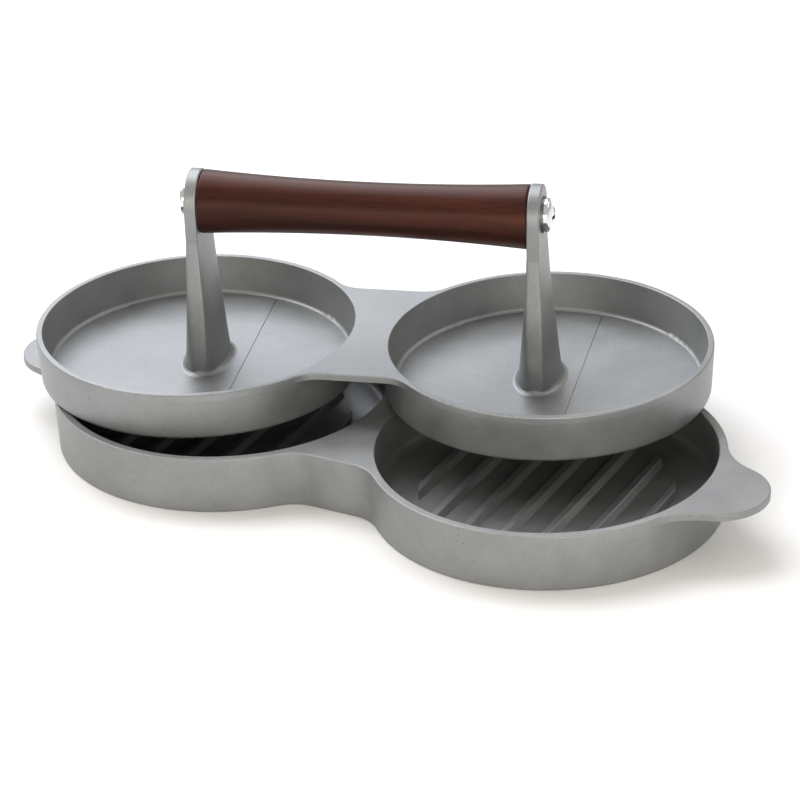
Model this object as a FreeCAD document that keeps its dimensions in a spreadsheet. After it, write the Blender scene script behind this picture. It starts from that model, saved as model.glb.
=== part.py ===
import FreeCAD, Part
import math
import os

import Sketcher

os.makedirs("parts", exist_ok=True)

doc = FreeCAD.newDocument("patty_press")
vector = FreeCAD.Vector

# ---------------------------------------------------------------- sizes, in millimetres and degrees
sizes = [
    # lower casting
    ("base_height", 19.8),
    ("pocket_spacing", 121.4),
    ("pocket_radius", 56.4),
    ("pocket_depth", 16.6),
    ("pocket_corner", 3.0),
    ("rim_wall", 2.9),
    ("skirt_draft", 1.7),
    ("web_half_width", 36.9),
    ("web_fillet", 14.0),
    ("web_plate", 2.6),
    ("core_wall", 2.4),
    ("core_start", 15.0),
    ("tab_reach", 78.5),
    ("tab_end_radius", 17.4),
    ("tab_fillet", 22.0),
    ("tab_turn", -2.7),
    ("tab_plate", 2.4),
    ("rib_pitch", 12.7),
    ("rib_height", 2.0),
    ("rib_top", 2.4),
    ("rib_root", 5.6),
    ("rib_circle", 42.5),
    ("rim_round", 0.45),
    # upper casting
    ("dish_clearance", 0.4),
    ("dish_height", 16.7),
    ("dish_depth", 13.8),
    ("dish_wall", 2.1),
    ("dish_draft", 3.1),
    ("dish_inner_draft", 5.5),
    ("dish_lower_round", 1.4),
    ("dish_floor_round", 1.3),
    ("score_width", 0.5),
    ("score_depth", 0.25),
    ("score_offset", 13.0),
    ("score_lean", 1.9),
    ("bridge_half_width", 33.5),
    ("bridge_fillet", 10.7),
    ("bridge_plate", 2.4),
    ("post_spacing", 116.0),
    ("post_foot_thick", 14.8),
    ("post_foot_wide", 27.6),
    ("post_foot_round", 1.9),
    ("post_neck_height", 34.0),
    ("eye_height", 46.5),
    ("eye_radius", 10.2),
    ("eye_plate", 4.2),
    ("screw_clearance", 5.4),
    ("handle_lean", -0.6),
    # grip and fasteners
    ("grip_end_radius", 10.9),
    ("grip_waist_radius", 9.0),
    ("grip_drop", 1.0),
    ("grip_end_round", 0.9),
    ("insert_radius", 4.0),
    ("insert_length", 16.0),
    ("screw_radius", 2.5),
    ("screw_reach", 12.0),
    ("head_radius", 5.75),
    ("head_rise", 3.1),
    ("head_edge", 1.3),
    ("recess_length", 6.0),
    ("recess_width", 1.3),
    ("recess_depth", 1.7),
    ("washer_radius", 6.1),
    ("washer_plate", 0.9),
    # how the upper casting lies on the lower one
    ("rest_shift_x", -15.6),
    ("rest_shift_y", 22.65),
    ("rest_turn", 16.8),
    ("rest_gap", 0.25),
]

sheet = doc.addObject("Spreadsheet::Sheet", "Sizes")
for row, (alias, value) in enumerate(sizes, start=1):
    sheet.set("A%d" % row, alias)
    sheet.set("B%d" % row, str(value))
    sheet.setAlias("B%d" % row, alias)
doc.recompute()
size = dict(sizes)


# ---------------------------------------------------------------- small helpers
def makeBody(name):
    body = doc.addObject("PartDesign::Body", name)
    body.Label = name
    doc.recompute()
    return body


def makeSketch(body, name, role, height=None):
    """A sketch on one of the body's own origin planes, raised by an expression if one is given."""
    plane = [f for f in body.Origin.OriginFeatures if f.Role == role][0]
    sketch = body.newObject("Sketcher::SketchObject", name)
    sketch.AttachmentSupport = (plane, [""])
    sketch.MapMode = "FlatFace"
    if height:
        sketch.setExpression("AttachmentOffset.Base.z", height)
    return sketch


def addConstraint(sketch, constraint, rule=None):
    index = sketch.addConstraint(constraint)
    if rule:
        sketch.setExpression("Constraints[%d]" % index, rule)


def holdPoint(sketch, index, position, x, y, xRule=None, yRule=None):
    """Hold a point of the sketch at x, y, each tied to a rule where one is given."""
    for kind, value, rule in (("DistanceX", x, xRule), ("DistanceY", y, yRule)):
        if value < 0:
            addConstraint(sketch, Sketcher.Constraint(kind, index, position, -1, 1, -value), rule)
        else:
            addConstraint(sketch, Sketcher.Constraint(kind, -1, 1, index, position, value), rule)


def addCircle(sketch, x, y, radius, radiusRule, xRule=None, yRule=None):
    circle = Part.Circle(vector(x, y, 0), vector(0, 0, 1), radius)
    index = sketch.addGeometry(circle, False)
    addConstraint(sketch, Sketcher.Constraint("Radius", index, radius), radiusRule)
    holdPoint(sketch, index, 3, x, y, xRule, yRule)
    return index


def addLine(sketch, start, end):
    return sketch.addGeometry(Part.LineSegment(vector(*start, 0), vector(*end, 0)), False)


def addArc(sketch, start, middle, end, rule=None):
    arc = Part.Arc(vector(*start, 0), vector(*middle, 0), vector(*end, 0))
    index = sketch.addGeometry(arc, False)
    if rule:
        radius = sketch.Geometry[index].Radius
        addConstraint(sketch, Sketcher.Constraint("Radius", index, radius), rule)
    return index


def joinLoop(sketch, indices):
    """Tie the ends of neighbouring edges that already meet."""
    for place, index in enumerate(indices):
        following = indices[(place + 1) % len(indices)]
        pairs = [(a, b) for a in (1, 2) for b in (1, 2)]

        def gap(pair):
            return (sketch.getPoint(index, pair[0]) - sketch.getPoint(following, pair[1])).Length

        a, b = min(pairs, key=gap)
        addConstraint(sketch, Sketcher.Constraint("Coincident", index, a, following, b))


def addPolygon(sketch, points):
    edges = [addLine(sketch, p, points[(i + 1) % len(points)]) for i, p in enumerate(points)]
    joinLoop(sketch, edges)
    return edges


def checked(feature):
    doc.recompute()
    if "Invalid" in feature.State or feature.Shape.isNull() or not feature.Shape.isValid():
        raise RuntimeError("%s did not build" % feature.Name)
    return feature


def makePad(body, name, sketch, rule, reversed_=False, taper=None, midplane=False):
    pad = body.newObject("PartDesign::Pad", name)
    pad.Profile = sketch
    pad.setExpression("Length", rule)
    pad.Reversed = reversed_
    pad.Midplane = midplane
    if taper:
        pad.setExpression("TaperAngle", taper)
    sketch.Visibility = False
    return checked(pad)


def makePocket(body, name, sketch, rule=None, reversed_=False, taper=None):
    before = body.Shape.Volume
    pocket = body.newObject("PartDesign::Pocket", name)
    pocket.Profile = sketch
    if rule:
        pocket.setExpression("Length", rule)
    else:
        pocket.Type = 1
        pocket.Midplane = True
    pocket.Reversed = reversed_
    if taper:
        pocket.setExpression("TaperAngle", taper)
    sketch.Visibility = False
    checked(pocket)
    if not body.Shape.Volume < before - 0.1:
        raise RuntimeError("%s cut nothing" % name)
    return pocket


def makeRevolution(body, name, sketch, axis="H_Axis"):
    turned = body.newObject("PartDesign::Revolution", name)
    turned.Profile = sketch
    turned.ReferenceAxis = (sketch, [axis])
    turned.Angle = 360
    sketch.Visibility = False
    return checked(turned)


def edgesWhere(shape, test):
    return ["Edge%d" % (i + 1) for i, edge in enumerate(shape.Edges) if test(edge)]


def makeFillet(body, name, test, rule):
    tip = body.Tip
    names = edgesWhere(tip.Shape, test)
    if not names:
        raise RuntimeError("%s found no edges" % name)
    fillet = body.newObject("PartDesign::Fillet", name)
    fillet.Base = (tip, names)
    fillet.setExpression("Radius", rule)
    return checked(fillet)


def isLevel(edge, height, tolerance=0.02):
    box = edge.BoundBox
    return abs(box.ZMin - height) < tolerance and abs(box.ZMax - height) < tolerance


def neckOutline(radius, halfWidth, corner):
    """Where a straight neck with rounded corners touches two equal discs."""
    middle = size["pocket_spacing"] / 2
    level = halfWidth + corner
    reach = math.sqrt((radius + corner) ** 2 - level ** 2)
    flatEnd = middle - reach
    share = radius / (radius + corner)
    touch = (middle - reach * share, level * share)
    aim = math.atan2(touch[1] - level, touch[0] - flatEnd)
    bisector = (aim - math.pi / 2) / 2
    bulge = (flatEnd + corner * math.cos(bisector), level + corner * math.sin(bisector))
    return middle, flatEnd, touch, bulge


def mirrored(point, x=1, y=1):
    return (point[0] * x, point[1] * y)


# ---------------------------------------------------------------- lower casting
rimRadius = size["pocket_radius"] + size["rim_wall"]
rimRule = "Sizes.pocket_radius + Sizes.rim_wall"
dishRadius = size["pocket_radius"] - size["dish_clearance"]
dishRule = "Sizes.pocket_radius - Sizes.dish_clearance"
halfSpacing = size["pocket_spacing"] / 2
halfRule = "Sizes.pocket_spacing / 2"

def tabPoints():
    """Points on one tab's edge, measured from its pocket's centre."""
    end = size["tab_end_radius"]
    corner = size["tab_fillet"]
    centre = size["tab_reach"] - end
    toDisc = rimRadius + corner
    toEnd = end + corner
    x = (toDisc ** 2 - toEnd ** 2 + centre ** 2) / (2 * centre)
    y = math.sqrt(toDisc ** 2 - x ** 2)
    onDisc = (x * rimRadius / toDisc, y * rimRadius / toDisc)
    onEnd = (centre + (x - centre) * end / toEnd, y * end / toEnd)
    chord = (onDisc[0] + onEnd[0] - 2 * x, onDisc[1] + onEnd[1] - 2 * y)
    scale = corner / math.hypot(*chord)
    hollow = (x + chord[0] * scale, y + chord[1] * scale)
    return onDisc, hollow, onEnd


def midway(start, stop, radius):
    """The point of a disc's edge halfway between two others, all from the disc's centre."""
    x = start[0] + stop[0]
    y = start[1] + stop[1]
    scale = radius / math.hypot(x, y)
    return (x * scale, y * scale)


def castingLoop(sketch, radius, radiusRule, neck, withTabs=False):
    """Two discs joined by a neck, seen from above, with or without the two finger tabs."""
    halfWidth = size[neck + "_half_width"]
    cornerRule = "Sizes.%s_fillet" % neck
    middle, flatEnd, touch, bulge = neckOutline(radius, halfWidth, size[neck + "_fillet"])
    flat = (flatEnd, halfWidth)
    swing = math.radians(size["tab_turn"])
    loop = []
    for sign in (1, -1):
        if withTabs:
            def swung(point, flip):
                x = point[0]
                y = point[1] * flip
                return (x * math.cos(swing) - y * math.sin(swing), x * math.sin(swing) + y * math.cos(swing))

            near = [swung(point, -1) for point in tabPoints()]
            far = [swung(point, 1) for point in tabPoints()]
            tip = swung((size["tab_reach"], 0), 1)
            nearTouch = (touch[0] - middle, -touch[1])
            farTouch = (touch[0] - middle, touch[1])
            bends = [
                (nearTouch, midway(nearTouch, near[0], radius), near[0], radiusRule),
                (near[0], near[1], near[2], "Sizes.tab_fillet"),
                (near[2], tip, far[2], "Sizes.tab_end_radius"),
                (far[2], far[1], far[0], "Sizes.tab_fillet"),
                (far[0], midway(far[0], farTouch, radius), farTouch, radiusRule),
            ]
            if sign < 0:
                bends = [(end, through, start, rule) for start, through, end, rule in reversed(bends)]
            for start, through, end, rule in bends:
                shifted = [(sign * (middle + x), y) for x, y in (start, through, end)]
                loop.append(addArc(sketch, *shifted, rule))
        else:
            far = (sign * (middle + radius), 0)
            loop.append(addArc(sketch, mirrored(touch, sign, -sign), far, mirrored(touch, sign, sign),
                               radiusRule))
        loop += [
            addArc(sketch, mirrored(touch, sign, sign), mirrored(bulge, sign, sign),
                   mirrored(flat, sign, sign), cornerRule),
            addLine(sketch, mirrored(flat, sign, sign), mirrored(flat, -sign, sign)),
            addArc(sketch, mirrored(flat, -sign, sign), mirrored(bulge, -sign, sign),
                   mirrored(touch, -sign, sign), cornerRule),
        ]
    joinLoop(sketch, loop)


base = makeBody("base_blank")
rim = makeSketch(base, "rim_outline", "XY_Plane", "Sizes.base_height")
castingLoop(rim, rimRadius, rimRule, "web", withTabs=True)
makePad(base, "rim_and_tabs", rim, "Sizes.tab_plate", reversed_=True)
skirt = makeSketch(base, "skirt_outline", "XY_Plane", "Sizes.base_height - Sizes.tab_plate")
castingLoop(skirt, rimRadius, rimRule, "web")
makePad(base, "skirt", skirt, "Sizes.base_height - Sizes.tab_plate", reversed_=True,
        taper="-Sizes.skirt_draft")
makeFillet(base, "rim_outer_round", lambda edge: isLevel(edge, size["base_height"]), "Sizes.rim_round")
makeFillet(base, "foot_round", lambda edge: isLevel(edge, 0), "Sizes.rim_round * 1.6")

for name, side in (("pocket_left", -1), ("pocket_right", 1)):
    circle = makeSketch(base, name + "_circle", "XY_Plane", "Sizes.base_height")
    addCircle(circle, side * halfSpacing, 0, size["pocket_radius"], "Sizes.pocket_radius", halfRule)
    makePocket(base, name, circle, "Sizes.pocket_depth")


def pocketFloorEdge(edge):
    level = size["base_height"] - size["pocket_depth"]
    return isLevel(edge, level) and abs(edge.BoundBox.XLength - 2 * size["pocket_radius"]) < 0.5


makeFillet(base, "pocket_corner_round", pocketFloorEdge, "Sizes.pocket_corner")


def pocketMouthEdge(edge):
    return isLevel(edge, size["base_height"]) and abs(edge.BoundBox.XLength - 2 * size["pocket_radius"]) < 0.5


makeFillet(base, "pocket_mouth_round", pocketMouthEdge, "Sizes.rim_round * 0.7")

# the web between the pockets is cored out from below, to keep the casting's walls even
coreHeight = "Sizes.base_height - Sizes.web_plate"
for name, sign in (("core_front", -1), ("core_back", 1)):
    core = makeSketch(base, name + "_outline", "XY_Plane")
    near = size["core_start"]
    farY = size["web_half_width"] - size["core_wall"] - 0.6

    def gapAt(y):
        return halfSpacing - math.sqrt(rimRadius ** 2 - y ** 2)

    half = (near + farY) / 2
    corners = [(gapAt(y), sign * y) for y in (near, half, farY)]
    edges = [
        addLine(core, mirrored(corners[0], -1), corners[0]),
        addArc(core, corners[0], corners[1], corners[2]),
        addLine(core, corners[2], mirrored(corners[2], -1)),
        addArc(core, mirrored(corners[2], -1), mirrored(corners[1], -1), mirrored(corners[0], -1)),
    ]
    joinLoop(core, edges)
    makePocket(base, name, core, coreHeight, reversed_=True)

# ribs across each pocket floor, trimmed to a circle
ribBodies = []
for name, side in (("ribs_left", -1), ("ribs_right", 1)):
    ribs = makeBody(name)
    profile = makeSketch(ribs, name + "_profile", "XZ_Plane")
    floor = size["base_height"] - size["pocket_depth"] - 0.2
    crest = floor + 0.2 + size["rib_height"]
    count = int(size["rib_circle"] // size["rib_pitch"])
    for step in range(-count, count + 1):
        x = side * halfSpacing + step * size["rib_pitch"]
        half = size["rib_root"] / 2
        top = size["rib_top"] / 2
        addPolygon(profile, [(x - half, floor), (x + half, floor), (x + top, crest), (x - top, crest)])
    makePad(ribs, name + "_bars", profile, "Sizes.rib_circle * 2", midplane=True)
    ring = makeSketch(ribs, name + "_trim", "XY_Plane")
    addCircle(ring, side * halfSpacing, 0, size["rib_circle"], "Sizes.rib_circle", halfRule)
    addCircle(ring, side * halfSpacing, 0, size["rib_circle"] * 2, "Sizes.rib_circle * 2", halfRule)
    makePocket(ribs, name + "_ends", ring)

    def crestEdge(edge):
        return isLevel(edge, crest)

    makeFillet(ribs, name + "_round", crestEdge, "Sizes.rib_height * 0.25")
    ribBodies.append(ribs)

baseCasting = doc.addObject("Part::MultiFuse", "base_casting")
baseCasting.Shapes = [base] + ribBodies
baseCasting.Refine = True
doc.recompute()

# ---------------------------------------------------------------- upper casting, about its own centre
press = makeBody("press_blank")
bridge = makeSketch(press, "bridge_outline", "XY_Plane", "Sizes.dish_height")
castingLoop(bridge, dishRadius, dishRule, "bridge")
makePad(press, "rims_and_bridge", bridge, "Sizes.bridge_plate", reversed_=True)
for name, side in (("dish_left", -1), ("dish_right", 1)):
    circle = makeSketch(press, name + "_circle", "XY_Plane", "Sizes.dish_height - Sizes.bridge_plate")
    addCircle(circle, side * halfSpacing, 0, dishRadius, dishRule, halfRule)
    makePad(press, name, circle, "Sizes.dish_height - Sizes.bridge_plate", reversed_=True,
            taper="-Sizes.dish_draft")

makeFillet(press, "dish_lower_round", lambda edge: isLevel(edge, 0), "Sizes.dish_lower_round")
makeFillet(press, "dish_rim_round", lambda edge: isLevel(edge, size["dish_height"]), "Sizes.rim_round")

for name, side in (("hollow_left", -1), ("hollow_right", 1)):
    circle = makeSketch(press, name + "_circle", "XY_Plane", "Sizes.dish_height")
    inner = dishRadius - size["dish_wall"]
    addCircle(circle, side * halfSpacing, 0, inner, dishRule + " - Sizes.dish_wall", halfRule)
    makePocket(press, name, circle, "Sizes.dish_depth", taper="-Sizes.dish_inner_draft")

floorLevel = size["dish_height"] - size["dish_depth"]
makeFillet(press, "dish_floor_round", lambda edge: isLevel(edge, floorLevel), "Sizes.dish_floor_round")


def mouthEdge(edge):
    inner = dishRadius - size["dish_wall"]
    return isLevel(edge, size["dish_height"]) and abs(edge.BoundBox.XLength - 2 * inner) < 0.3


makeFillet(press, "dish_mouth_round", mouthEdge, "Sizes.rim_round * 0.7")

# a fine line scored straight across each dish floor, beside the post
floorRadius = (dishRadius - size["dish_wall"] - size["dish_floor_round"] - 0.2
               - size["dish_depth"] * math.tan(math.radians(size["dish_inner_draft"])))
for name, side, lean in (("score_left", -1, 0), ("score_right", 1, size["score_lean"])):
    x = side * size["post_spacing"] / 2 + size["score_offset"]
    slope = math.tan(math.radians(lean))
    aside = abs(x - side * halfSpacing) + slope * floorRadius
    reach = math.sqrt(floorRadius ** 2 - aside ** 2)
    half = size["score_width"] / 2
    line = makeSketch(press, name + "_line", "XY_Plane", "Sizes.dish_height - Sizes.dish_depth")
    addPolygon(line, [
        (x - slope * reach - half, -reach),
        (x - slope * reach + half, -reach),
        (x + slope * reach + half, reach),
        (x + slope * reach - half, reach),
    ])
    makePocket(press, name, line, "Sizes.score_depth")


def closedCurve(points, z):
    curve = Part.BSplineCurve()
    curve.interpolate([vector(x, y, z) for x, y in points], PeriodicFlag=True)
    return Part.Wire([curve.toShape()])


def ovalSection(x, z, halfThick, halfWide):
    turns = [2 * math.pi * (step + 0.5) / 32 for step in range(32)]
    return closedCurve([(x + halfThick * math.cos(a), halfWide * math.sin(a)) for a in turns], z)


def postSection(x, z, halfThick, halfWide, halfEdge):
    """A section with a flat narrow edge at each end and broad sides that bulge between them."""
    bulge = halfThick - halfEdge
    half = [(halfEdge + bulge * math.cos(math.radians(a)), halfWide * math.sin(math.radians(a)))
            for a in range(-75, 76, 15)]
    half += [(halfEdge * share, halfWide) for share in (0.7, 0, -0.7)]
    return closedCurve([(x + u, v) for u, v in half] + [(x - u, -v) for u, v in half], z)


eyeLevel = size["dish_height"] + size["eye_height"]
neckLevel = size["dish_height"] + size["post_neck_height"]
halfPlate = size["eye_plate"] / 2
posts = []
for name, side in (("post_left", -1), ("post_right", 1)):
    x = side * size["post_spacing"] / 2
    root = floorLevel - 0.6
    rise = neckLevel - root
    stations = []
    for share, edgeShare in ((0.0, 0.35), (0.22, 0.7), (0.45, 1.0), (0.75, 1.0), (1.0, 1.0)):
        thick = size["post_foot_thick"] / 2 * (1 - share) + halfPlate * share
        wide = size["post_foot_wide"] / 2 * (1 - share) + size["eye_radius"] * share
        lean = size["handle_lean"] * share
        stations.append(postSection(x + lean, root + rise * share, thick, wide, halfPlate * edgeShare))
    stem = doc.addObject("Part::Feature", name + "_stem")
    stem.Shape = Part.makeLoft(stations, True, False)

    # the cast fillet round the foot, as a ring of sloping bands that end inside the stem
    flare = size["post_foot_round"]
    bands = []
    for grow, height in ((1.0, -0.6), (1.0, 0.02), (0.55, 0.12), (0.22, 0.38), (-0.5, 1.5)):
        bands.append(ovalSection(
            x, floorLevel + (height if height < 0 else height * flare),
            size["post_foot_thick"] / 2 + grow * flare, size["post_foot_wide"] / 2 + grow * flare))
    foot = doc.addObject("Part::Feature", name + "_foot")
    foot.Shape = Part.makeLoft(bands, True, True)

    eye = makeBody(name + "_eye")
    sketch = makeSketch(eye, name + "_eye_outline", "YZ_Plane", "Sizes.post_spacing / 2 * %d" % side)
    radius = size["eye_radius"]
    low = neckLevel - 2.0
    edges = [
        addLine(sketch, (-radius, eyeLevel), (-radius, low)),
        addLine(sketch, (-radius, low), (radius, low)),
        addLine(sketch, (radius, low), (radius, eyeLevel)),
        addArc(sketch, (radius, eyeLevel), (0, eyeLevel + radius), (-radius, eyeLevel), "Sizes.eye_radius"),
    ]
    joinLoop(sketch, edges)
    makePad(eye, name + "_eye_pad", sketch, "Sizes.eye_plate", midplane=True)

    def eyeRimEdge(edge):
        box = edge.BoundBox
        return box.XLength < 0.01 and box.ZMax > low + 1

    makeFillet(eye, name + "_eye_round", eyeRimEdge, "Sizes.eye_plate * 0.14")
    hole = makeSketch(eye, name + "_eye_hole", "YZ_Plane", "Sizes.post_spacing / 2 * %d" % side)
    addCircle(hole, 0, eyeLevel, size["screw_clearance"] / 2, "Sizes.screw_clearance / 2",
              yRule="Sizes.dish_height + Sizes.eye_height")
    makePocket(eye, name + "_screw_hole", hole)
    eye.Placement = FreeCAD.Placement(vector(size["handle_lean"], 0, 0), FreeCAD.Rotation())
    posts += [stem, foot, eye]

pressCasting = doc.addObject("Part::MultiFuse", "press_casting")
pressCasting.Shapes = [press] + posts
pressCasting.Refine = False
doc.recompute()

# ---------------------------------------------------------------- grip and its fasteners
gripHalf = size["post_spacing"] / 2 - size["eye_plate"] / 2
grip = makeBody("grip")
profile = makeSketch(grip, "grip_profile", "XZ_Plane")
edges = [
    addLine(profile, (-gripHalf, 0), (gripHalf, 0)),
    addLine(profile, (gripHalf, 0), (gripHalf, size["grip_end_radius"])),
    addArc(profile, (gripHalf, size["grip_end_radius"]), (0, size["grip_waist_radius"]),
           (-gripHalf, size["grip_end_radius"])),
    addLine(profile, (-gripHalf, size["grip_end_radius"]), (-gripHalf, 0)),
]
joinLoop(profile, edges)
makeRevolution(grip, "grip_turned", profile)


def gripEndEdge(edge):
    box = edge.BoundBox
    return box.XLength < 0.01 and abs(box.YLength - 2 * size["grip_end_radius"]) < 0.2


makeFillet(grip, "grip_end_round", gripEndEdge, "Sizes.grip_end_round")
for name, side in (("socket_left", -1), ("socket_right", 1)):
    circle = makeSketch(grip, name + "_circle", "YZ_Plane",
                        "(Sizes.post_spacing / 2 - Sizes.eye_plate / 2) * %d" % side)
    addCircle(circle, 0, size["grip_drop"], size["insert_radius"], "Sizes.insert_radius",
              yRule="Sizes.grip_drop")
    makePocket(grip, name, circle, "Sizes.insert_length + 1", reversed_=side < 0)


def turnedPiece(name, points, arcs=()):
    """A piece turned about the x axis from a half profile given as points; arcs bulge through a point."""
    body = makeBody(name)
    sketch = makeSketch(body, name + "_profile", "XZ_Plane")
    edges = []
    for place, start in enumerate(points):
        end = points[(place + 1) % len(points)]
        through = dict(arcs).get(place)
        edges.append(addArc(sketch, start, through, end) if through else addLine(sketch, start, end))
    joinLoop(sketch, edges)
    makeRevolution(body, name + "_turned", sketch)
    return body


pieces = {}
outerFace = size["post_spacing"] / 2 + size["eye_plate"] / 2
for name, side in (("left", -1), ("right", 1)):
    inner = side * (gripHalf - size["insert_length"])
    outer = side * gripHalf
    insert = turnedPiece("insert_" + name, [
        (inner, size["screw_radius"]),
        (outer, size["screw_radius"]),
        (outer, size["insert_radius"]),
        (inner, size["insert_radius"]),
    ])
    near = side * outerFace
    away = side * (outerFace + size["washer_plate"])
    washer = turnedPiece("washer_" + name, [
        (near, size["screw_clearance"] / 2),
        (away, size["screw_clearance"] / 2),
        (away, size["washer_radius"]),
        (near, size["washer_radius"]),
    ])
    crown = side * (outerFace + size["washer_plate"] + size["head_rise"])
    lip = side * (outerFace + size["washer_plate"] + size["head_edge"])
    tip = side * (gripHalf - size["screw_reach"])
    rise = size["head_rise"] - size["head_edge"]
    dome = (size["head_radius"] ** 2 + rise ** 2) / (2 * rise)
    half = size["head_radius"] / 2
    drop = dome - math.sqrt(dome ** 2 - half ** 2)
    screw = turnedPiece("screw_" + name, [
        (tip, 0),
        (tip, size["screw_radius"] - 0.6),
        (tip + side * 0.6, size["screw_radius"]),
        (away, size["screw_radius"]),
        (away, size["head_radius"]),
        (lip, size["head_radius"]),
        (crown, 0),
    ], [(5, (crown - side * drop, half))])

    def headRimEdge(edge):
        box = edge.BoundBox
        return box.XLength < 0.01 and abs(box.XMin - lip) < 0.01

    makeFillet(screw, "head_round_" + name, headRimEdge, "Sizes.head_edge * 0.8")
    cross = makeSketch(screw, "recess_" + name, "YZ_Plane", "%r" % crown)
    long = size["recess_length"] / 2
    short = size["recess_width"] / 2
    addPolygon(cross, [
        (long, short), (short, short), (short, long), (-short, long), (-short, short), (-long, short),
        (-long, -short), (-short, -short), (-short, -long), (short, -long), (short, -short), (long, -short),
    ])
    makePocket(screw, "recess_cut_" + name, cross, "Sizes.recess_depth", reversed_=side < 0)
    pieces.update({
        "insert_" + name: insert,
        "washer_" + name: washer,
        "screw_" + name: screw,
    })

# ---------------------------------------------------------------- place every piece as the press lies at rest
turn = FreeCAD.Rotation(vector(0, 0, 1), size["rest_turn"])
pressBottom = size["base_height"] + size["rest_gap"]
lie = FreeCAD.Placement(vector(size["rest_shift_x"], size["rest_shift_y"], pressBottom), turn)
axisLevel = FreeCAD.Placement(vector(size["handle_lean"], 0, eyeLevel), FreeCAD.Rotation())
gripLevel = FreeCAD.Placement(vector(size["handle_lean"], 0, eyeLevel - size["grip_drop"]),
                              FreeCAD.Rotation())

finished = {"base_casting": (baseCasting, FreeCAD.Placement())}
finished["press_casting"] = (pressCasting, lie)
finished["grip"] = (grip, lie.multiply(gripLevel))
for name, piece in pieces.items():
    finished[name] = (piece, lie.multiply(axisLevel))

for name, (piece, placement) in finished.items():
    piece.Label = name
    piece.Placement = placement
doc.recompute()

for item in doc.Objects:
    if "Invalid" in item.State or "Error" in item.State:
        raise RuntimeError("%s did not build: %s" % (item.Name, item.State))

for name, (piece, placement) in finished.items():
    shape = piece.Shape
    if shape.isNull() or not shape.isValid() or len(shape.Solids) != 1:
        raise RuntimeError("%s has %d solids, valid %s" % (name, len(shape.Solids), shape.isValid()))
    box = shape.BoundBox
    print("%-14s %9.1f mm3  x %7.2f %7.2f  y %7.2f %7.2f  z %6.2f %6.2f" % (
        name, shape.Volume, box.XMin, box.XMax, box.YMin, box.YMax, box.ZMin, box.ZMax))
    shape.exportStep(os.path.join("parts", name + ".step"))
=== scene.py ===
import math

import bmesh
import bpy
from mathutils import Matrix, Vector


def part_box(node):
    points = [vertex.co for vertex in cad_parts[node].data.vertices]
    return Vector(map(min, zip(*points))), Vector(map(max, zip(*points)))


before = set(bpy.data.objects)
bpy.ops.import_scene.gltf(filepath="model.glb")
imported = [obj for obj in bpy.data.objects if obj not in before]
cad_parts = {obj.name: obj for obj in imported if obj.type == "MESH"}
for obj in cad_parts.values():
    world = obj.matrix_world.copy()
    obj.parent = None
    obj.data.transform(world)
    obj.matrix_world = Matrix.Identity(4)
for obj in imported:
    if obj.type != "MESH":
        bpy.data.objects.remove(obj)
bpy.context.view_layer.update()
print("frame loaded:", len(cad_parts), "nodes")


def toLinear(hexValue, alpha=1.0):
    # sRGB hex to the linear colour that the shader sockets take
    channels = [int(hexValue[i:i + 2], 16) / 255 for i in (1, 3, 5)]
    linear = [c / 12.92 if c <= 0.04045 else ((c + 0.055) / 1.055) ** 2.4 for c in channels]
    return (*linear, alpha)


def addNode(tree, kind, settings=None, **inputs):
    # one node with its settings; each input is a plain value or another node's output, and is
    # named by its label with _ for a space, or by its number as i0, i1 and so on
    node = tree.nodes.new(kind)
    for key, value in (settings or {}).items():
        setattr(node, key, value)
    for key, value in inputs.items():
        byNumber = key[0] == "i" and key[1:].isdigit()
        socket = node.inputs[int(key[1:]) if byNumber else key.replace("_", " ")]
        if isinstance(value, bpy.types.NodeSocket):
            tree.links.new(value, socket)
        else:
            socket.default_value = value
    return node


def newMaterial(name):
    material = bpy.data.materials.new(name)
    material.use_nodes = True
    tree = material.node_tree
    tree.nodes.clear()
    return material, tree


def rampOf(tree, factor, stops):
    # a colour ramp from (place, hex) stops
    node = addNode(tree, "ShaderNodeValToRGB", None, Fac=factor)
    ramp = node.color_ramp
    while len(ramp.elements) < len(stops):
        ramp.elements.new(0.5)
    for element, (place, colour) in zip(ramp.elements, stops):
        element.position = place
        element.color = toLinear(colour)
    return node.outputs["Color"]


# where the pieces are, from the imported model
gripLow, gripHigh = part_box("grip")
leftLow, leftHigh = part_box("screw_left")
rightLow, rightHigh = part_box("screw_right")
gripCentre = (gripLow + gripHigh) / 2
gripAlong = ((rightLow + rightHigh) - (leftLow + leftHigh)).normalized()
gripTurn = math.atan2(gripAlong.y, gripAlong.x)
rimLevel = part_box("base_casting")[1].z

# camera: its place is in rim radii from the centre of the rim plane, its lens in image widths
cameraSet = {
    "azimuth": 28.544,
    "elevation": 27.262,
    "roll": -2.017,
    "distance": 17.667,
    "across": -0.098,
    "down": 0.067,
    "focal": 3120.8,
    "imageSide": 800,
    "radius": 0.0593,
    "sensor": 36,
    "nearest": 0.01,
    "farthest": 50,
}


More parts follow.
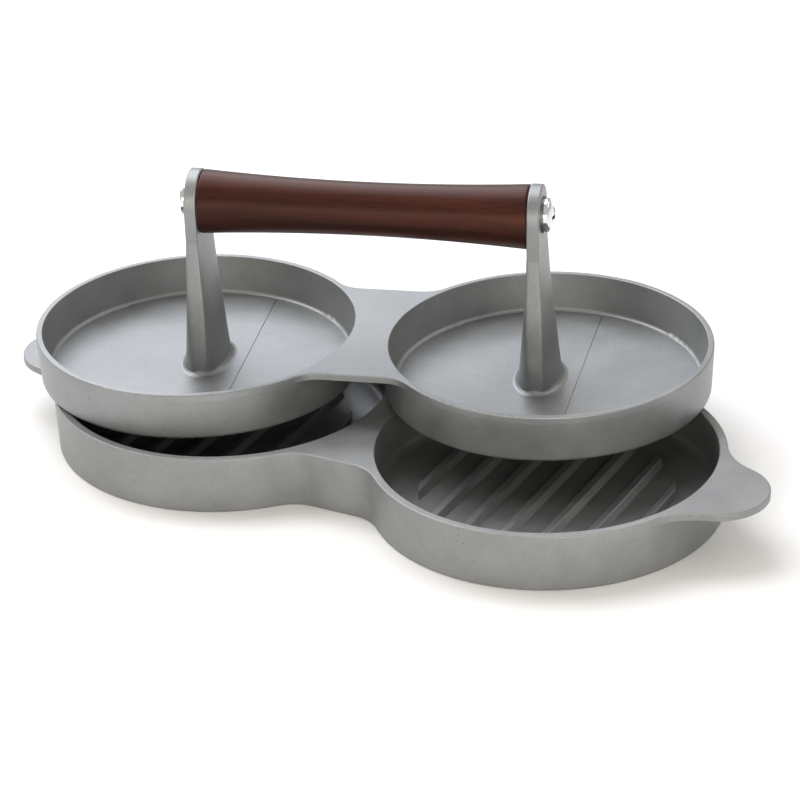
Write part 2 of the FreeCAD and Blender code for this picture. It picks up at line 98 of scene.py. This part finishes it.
def placeCamera():
    azimuth = math.radians(cameraSet["azimuth"])
    elevation = math.radians(cameraSet["elevation"])
    back = Vector((math.sin(azimuth) * math.cos(elevation), -math.cos(azimuth) * math.cos(elevation),
                   math.sin(elevation)))
    right = (-back).cross(Vector((0, 0, 1))).normalized()
    down = (-back).cross(right)
    roll = math.radians(cameraSet["roll"])
    turnedRight = right * math.cos(roll) - down * math.sin(roll)
    turnedDown = right * math.sin(roll) + down * math.cos(roll)
    offset = (turnedRight * cameraSet["across"] + turnedDown * cameraSet["down"]
              - back * cameraSet["distance"])
    location = -offset * cameraSet["radius"] + Vector((0, 0, rimLevel))
    data = bpy.data.cameras.new("studio_camera")
    data.sensor_width = cameraSet["sensor"]
    data.lens = cameraSet["focal"] / cameraSet["imageSide"] * data.sensor_width
    data.clip_start = cameraSet["nearest"]
    data.clip_end = cameraSet["farthest"]
    camera = bpy.data.objects.new("studio_camera", data)
    bpy.context.scene.collection.objects.link(camera)
    turn = Matrix((turnedRight, -turnedDown, back)).transposed().to_4x4()
    camera.matrix_world = Matrix.Translation(location) @ turn
    bpy.context.scene.camera = camera


placeCamera()

# studio: a softbox is bearing and elevation in degrees, width and height in metres, and its
# radiance as red, green and blue; a bearing of 0 is the front and 90 is the right
studioSet = {
    "floorSide": 16.0,
    "floorColour": "#f1f1f0",
    "floorRoughness": 0.8,
    "worldLight": (0.65, 0.61, 0.58),
    "softboxDistance": 1.5,
    "softboxAim": (0, 0, 0.03),
    "softboxes": {
        "window_back_left": (225, 38, 0.9, 0.7, (3.37, 3.57, 3.94)),
        "window_left": (270, 44, 0.9, 0.7, (4.75, 4.74, 4.72)),
        "fill_low_right": (45, 12, 0.9, 0.5, (5.9, 5.9, 5.5)),
        "overhead_back": (225, 66, 0.9, 0.7, (3.36, 3.47, 3.71)),
        "fill_low_front": (0, 12, 0.9, 0.5, (3.0, 2.92, 2.5)),
        "back_right": (135, 38, 0.9, 0.7, (1.14, 1.19, 1.19)),
    },
}


def addSoftbox(name, bearing, elevation, width, height, radiance):
    turn, lift = math.radians(bearing), math.radians(elevation)
    outward = Vector((math.sin(turn) * math.cos(lift), -math.cos(turn) * math.cos(lift), math.sin(lift)))
    peak = max(radiance)
    data = bpy.data.lights.new(name, "AREA")
    data.shape = "RECTANGLE"
    data.size, data.size_y = width, height
    data.energy = peak * width * height * math.pi
    data.color = [channel / peak for channel in radiance]
    light = bpy.data.objects.new(name, data)
    light.location = Vector(studioSet["softboxAim"]) + outward * studioSet["softboxDistance"]
    light.rotation_mode = "QUATERNION"
    light.rotation_quaternion = outward.to_track_quat("Z", "Y")
    bpy.context.scene.collection.objects.link(light)


def buildStudio():
    shape = bmesh.new()
    bmesh.ops.create_grid(shape, x_segments=1, y_segments=1, size=studioSet["floorSide"] / 2)
    mesh = bpy.data.meshes.new("floor")
    shape.to_mesh(mesh)
    shape.free()
    floor = bpy.data.objects.new("floor", mesh)
    bpy.context.scene.collection.objects.link(floor)
    # matt white paper: a plain pale ground with no shine
    material, tree = newMaterial("matt_white_paper")
    surface = addNode(tree, "ShaderNodeBsdfPrincipled", None, Roughness=studioSet["floorRoughness"],
                      Base_Color=toLinear(studioSet["floorColour"]))
    addNode(tree, "ShaderNodeOutputMaterial", None, Surface=surface.outputs[0])
    mesh.materials.append(material)
    for name, values in studioSet["softboxes"].items():
        addSoftbox(name, *values)
    world = bpy.data.worlds.new("studio_world")
    world.use_nodes = True
    world.node_tree.nodes.clear()
    light = addNode(world.node_tree, "ShaderNodeBackground", None,
                    Color=(*studioSet["worldLight"], 1), Strength=1.0)
    addNode(world.node_tree, "ShaderNodeOutputWorld", None, Surface=light.outputs[0])
    bpy.context.scene.world = world
    bpy.context.scene.view_settings.view_transform = "Standard"


buildStudio()
print("camera and studio placed")


aluminiumSet = {
    "base_casting": {"dark": "#868787", "light": "#949595", "metallic": 0.8, "roughness": 0.50},
    "press_casting": {"dark": "#878989", "light": "#949697", "metallic": 0.8, "roughness": 0.48},
}


# the skin both castings share: scales are features per metre, depths are metres
skinSet = {
    "cloudScale": 45.0,
    "grainScale": 1500.0,
    "grainDepth": 0.00012,
    "pitScale": 320.0,
    "pitDepth": 0.00015,
    "pitShade": 0.72,
}


def castAluminium(name, values):
    # sand-cast aluminium, tumbled to a satin skin: dull silver grey with slow cloudy patches, a fine
    # even grain that breaks up the reflections, and a sparse scatter of tiny darker casting pits
    material, tree = newMaterial(name)
    place = addNode(tree, "ShaderNodeTexCoord").outputs["Object"]
    cloud = addNode(tree, "ShaderNodeTexNoise", None, Vector=place, Scale=skinSet["cloudScale"],
                    Detail=4.0, Roughness=0.6)
    grain = addNode(tree, "ShaderNodeTexNoise", None, Vector=place, Scale=skinSet["grainScale"],
                    Detail=2.0, Roughness=0.6)
    pits = addNode(tree, "ShaderNodeTexVoronoi", None, Vector=place, Scale=skinSet["pitScale"])
    pitDepth = addNode(tree, "ShaderNodeMapRange", None, Value=pits.outputs["Distance"],
                       i1=0.05, i2=0.16, i3=0.0, i4=1.0)
    pitPick = addNode(tree, "ShaderNodeMapRange", None, Value=pits.outputs["Color"],
                      i1=0.16, i2=0.20, i3=0.0, i4=1.0)
    pitMask = addNode(tree, "ShaderNodeMath", {"operation": "MAXIMUM"}, i0=pitDepth.outputs[0],
                      i1=pitPick.outputs[0])
    tint = rampOf(tree, cloud.outputs["Fac"], [(0.32, values["dark"]), (0.68, values["light"])])
    speckle = addNode(tree, "ShaderNodeMapRange", None, Value=grain.outputs["Fac"],
                      i1=0.3, i2=0.7, i3=0.93, i4=1.05)
    dimmed = addNode(tree, "ShaderNodeMapRange", None, Value=pitMask.outputs[0], i1=0.0, i2=1.0,
                     i3=skinSet["pitShade"], i4=1.0)
    shade = addNode(tree, "ShaderNodeMath", {"operation": "MULTIPLY"}, i0=speckle.outputs[0],
                    i1=dimmed.outputs[0])
    colour = addNode(tree, "ShaderNodeVectorMath", {"operation": "SCALE"}, i0=tint,
                     Scale=shade.outputs[0])
    rough = addNode(tree, "ShaderNodeMapRange", None, Value=cloud.outputs["Fac"], i1=0.3, i2=0.7,
                    i3=values["roughness"] - 0.05, i4=values["roughness"] + 0.05)
    skin = addNode(tree, "ShaderNodeBump", None, Height=grain.outputs["Fac"], Strength=0.35,
                   Distance=skinSet["grainDepth"])
    pitted = addNode(tree, "ShaderNodeBump", None, Height=pitMask.outputs[0], Strength=0.5,
                     Distance=skinSet["pitDepth"], Normal=skin.outputs[0])
    surface = addNode(tree, "ShaderNodeBsdfPrincipled", None, Base_Color=colour.outputs[0],
                      Metallic=values["metallic"], Roughness=rough.outputs[0], Normal=pitted.outputs[0])
    addNode(tree, "ShaderNodeOutputMaterial", None, Surface=surface.outputs[0])
    return material


woodSet = {
    "dark": "#1a0906",
    "middle": "#2a110b",
    "light": "#3a1a12",
    "roughness": 0.40,
    "specular": 0.36,
    "sheenTint": "#ffc3b4",
    "stretch": 0.05,
    "figureScale": 230.0,
    "poreScale": 1700.0,
    "poreDepth": 0.00006,
}


def lacqueredWood():
    # mahogany turned on a lathe, stained dark and sealed with satin lacquer: deep red-brown with
    # drawn-out figure along the grip, thin darker pores and one soft broad highlight
    material, tree = newMaterial("stained_mahogany_lacquered")
    place = addNode(tree, "ShaderNodeTexCoord").outputs["Object"]
    centred = addNode(tree, "ShaderNodeVectorMath", {"operation": "SUBTRACT"}, i0=place,
                      i1=tuple(gripCentre))
    turned = addNode(tree, "ShaderNodeVectorRotate", {"rotation_type": "Z_AXIS"},
                     Vector=centred.outputs[0], Angle=-gripTurn)
    stretched = addNode(tree, "ShaderNodeMapping", None, Vector=turned.outputs[0],
                        Scale=(woodSet["stretch"], 1.0, 1.0))
    figure = addNode(tree, "ShaderNodeTexNoise", None, Vector=stretched.outputs[0],
                     Scale=woodSet["figureScale"], Detail=4.0, Distortion=0.4)
    pores = addNode(tree, "ShaderNodeTexNoise", None, Vector=stretched.outputs[0],
                    Scale=woodSet["poreScale"], Detail=2.0)
    tint = rampOf(tree, figure.outputs["Fac"],
                  [(0.3, woodSet["dark"]), (0.5, woodSet["middle"]), (0.7, woodSet["light"])])
    poreMask = addNode(tree, "ShaderNodeMapRange", None, Value=pores.outputs["Fac"],
                       i1=0.34, i2=0.46, i3=0.62, i4=1.0)
    colour = addNode(tree, "ShaderNodeVectorMath", {"operation": "SCALE"}, i0=tint,
                     Scale=poreMask.outputs[0])
    bump = addNode(tree, "ShaderNodeBump", None, Height=poreMask.outputs[0], Strength=0.2,
                   Distance=woodSet["poreDepth"])
    surface = addNode(tree, "ShaderNodeBsdfPrincipled", None, Base_Color=colour.outputs[0],
                      Roughness=woodSet["roughness"], Specular_IOR_Level=woodSet["specular"],
                      Specular_Tint=toLinear(woodSet["sheenTint"]),
                      Normal=bump.outputs[0])
    addNode(tree, "ShaderNodeOutputMaterial", None, Surface=surface.outputs[0])
    return material


metalSet = {
    "brass": {"colour": "#c7a35a", "roughness": 0.3, "smear": 900.0},
    "zinc": {"colour": "#85888a", "roughness": 0.32, "smear": 700.0},
    "chrome": {"colour": "#dcdedf", "roughness": 0.1, "smear": 900.0},
}


def smoothMetal(name, values):
    # turned or pressed metal: one clean tone, with faint handling smears that vary how sharp it mirrors
    material, tree = newMaterial(name)
    place = addNode(tree, "ShaderNodeTexCoord").outputs["Object"]
    smear = addNode(tree, "ShaderNodeTexNoise", None, Vector=place, Scale=values["smear"], Detail=2.0)
    rough = addNode(tree, "ShaderNodeMapRange", None, Value=smear.outputs["Fac"], i1=0.3, i2=0.7,
                    i3=values["roughness"] * 0.7, i4=values["roughness"] * 1.4)
    surface = addNode(tree, "ShaderNodeBsdfPrincipled", None, Base_Color=toLinear(values["colour"]),
                      Metallic=1.0, Roughness=rough.outputs[0])
    addNode(tree, "ShaderNodeOutputMaterial", None, Surface=surface.outputs[0])
    return material


brass = smoothMetal("turned_brass", metalSet["brass"])
zinc = smoothMetal("zinc_plated_steel", metalSet["zinc"])
chrome = smoothMetal("bright_chrome_plate", metalSet["chrome"])
finishes = {
    "base_casting": castAluminium("cast_aluminium_base", aluminiumSet["base_casting"]),
    "press_casting": castAluminium("cast_aluminium_press", aluminiumSet["press_casting"]),
    "grip": lacqueredWood(),
    "insert_left": brass,
    "insert_right": brass,
    "washer_left": zinc,
    "washer_right": zinc,
    "screw_left": chrome,
    "screw_right": chrome,
}
for node, material in finishes.items():
    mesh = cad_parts[node].data
    mesh.materials.clear()
    mesh.materials.append(material)
print("finishes applied")
